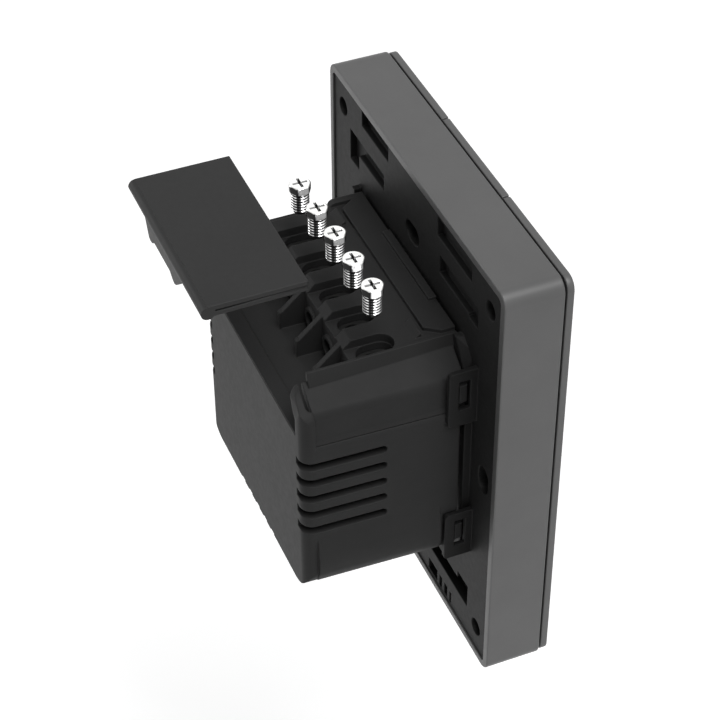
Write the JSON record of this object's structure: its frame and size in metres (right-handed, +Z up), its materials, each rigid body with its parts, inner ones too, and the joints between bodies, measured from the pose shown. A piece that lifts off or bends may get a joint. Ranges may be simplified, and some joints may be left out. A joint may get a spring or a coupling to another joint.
{
  "type": "smart light switch",
  "caption": "Flush wall switch with three wide keys, a box of electronics behind it, screw terminals, and its terminal cover and screws lifted away.",
  "frame": {"origin": "the middle of the four fixing slots, in the plane that lies on the wall", "axes": "+Y from the keys back into the wall box, +Z up, +X to the right seen from the keys"},
  "size_m": [0.071, 0.0549, 0.086],
  "materials": {
    "frame_plastic": "fine satin moulding",
    "key_plastic": "fine satin moulding",
    "back_plastic": "fine spark texture",
    "box_plastic": "fine spark texture",
    "cover_plastic": "fine spark texture",
    "inner_plastic": "moulded",
    "clear_plastic": "polished",
    "circuit_board": "solder resist",
    "radio_board": "solder resist",
    "switch_metal": "tinned sheet",
    "lamp": "moulded",
    "relay_case": "moulded",
    "ferrite": "sintered",
    "coil_tape": "tape",
    "capacitor_sleeve": "sleeve",
    "fuse_body": "lacquer",
    "clamp_steel": "plated",
    "screw_steel": "plated"
  },
  "bodies": {
    "base": {"front_frame": "frame_plastic", "key_carrier": "inner_plastic", "light_guide_left": "clear_plastic", "light_guide_centre": "clear_plastic", "light_guide_right": "clear_plastic", "control_board": "circuit_board", "tact_switch_left": "switch_metal", "tact_switch_centre": "switch_metal", "tact_switch_right": "switch_metal", "indicator_lamps": "lamp", "radio_module": "radio_board", "radio_shield": "switch_metal", "back_plate": "back_plastic", "board_header": "inner_plastic", "rear_housing": "box_plastic", "terminal_housing": "box_plastic", "power_board": "circuit_board", "relay_left": "relay_case", "relay_centre": "relay_case", "relay_right": "relay_case", "transformer_core": "ferrite", "transformer_coil": "coil_tape", "capacitor": "capacitor_sleeve", "fuse": "fuse_body", "varistor": "relay_case", "terminal_clamp_1": "clamp_steel", "terminal_clamp_2": "clamp_steel", "terminal_clamp_3": "clamp_steel", "terminal_clamp_4": "clamp_steel", "terminal_clamp_5": "clamp_steel"},
    "left_key": {"key_left": "key_plastic", "plunger_left": "inner_plastic"},
    "centre_key": {"key_centre": "key_plastic", "plunger_centre": "inner_plastic"},
    "right_key": {"key_right": "key_plastic", "plunger_right": "inner_plastic"},
    "cover": {"terminal_cover": "cover_plastic"},
    "screw_1": {"terminal_screw_1": "screw_steel"},
    "screw_2": {"terminal_screw_2": "screw_steel"},
    "screw_3": {"terminal_screw_3": "screw_steel"},
    "screw_4": {"terminal_screw_4": "screw_steel"},
    "screw_5": {"terminal_screw_5": "screw_steel"}
  },
  "joints": [
    {"name": "left_key_press", "type": "slide", "parent": "base", "child": "left_key", "axis": [0, 1, 0], "range_m": [0, 0.00035], "stiffness_N_per_m": 400, "springref_m": -0.0008},
    {"name": "centre_key_press", "type": "slide", "parent": "base", "child": "centre_key", "axis": [0, 1, 0], "range_m": [0, 0.00035], "stiffness_N_per_m": 400, "springref_m": -0.0008},
    {"name": "right_key_press", "type": "slide", "parent": "base", "child": "right_key", "axis": [0, 1, 0], "range_m": [0, 0.00035], "stiffness_N_per_m": 400, "springref_m": -0.0008},
    {"name": "cover_fitting", "type": "slide", "parent": "base", "child": "cover", "axis": [0, -0.7578, -0.6525], "range_m": [0, 0.02375]},
    {"name": "screw_1_drive", "type": "slide", "parent": "base", "child": "screw_1", "axis": [0, 0, -1], "range_m": [0, 0.0144]},
    {"name": "screw_2_drive", "type": "slide", "parent": "base", "child": "screw_2", "axis": [0, 0, -1], "range_m": [0, 0.014]},
    {"name": "screw_3_drive", "type": "slide", "parent": "base", "child": "screw_3", "axis": [0, 0, -1], "range_m": [0, 0.0136]},
    {"name": "screw_4_drive", "type": "slide", "parent": "base", "child": "screw_4", "axis": [0, 0, -1], "range_m": [0, 0.0132]},
    {"name": "screw_5_drive", "type": "slide", "parent": "base", "child": "screw_5", "axis": [0, 0, -1], "range_m": [0, 0.0128]}
  ],
  "couplings": [
    {"joint": "screw_1_drive", "follows": "cover_fitting", "ratio": 0.60621},
    {"joint": "screw_2_drive", "follows": "cover_fitting", "ratio": 0.58937},
    {"joint": "screw_3_drive", "follows": "cover_fitting", "ratio": 0.57254},
    {"joint": "screw_4_drive", "follows": "cover_fitting", "ratio": 0.5557},
    {"joint": "screw_5_drive", "follows": "cover_fitting", "ratio": 0.53886}
  ]
}
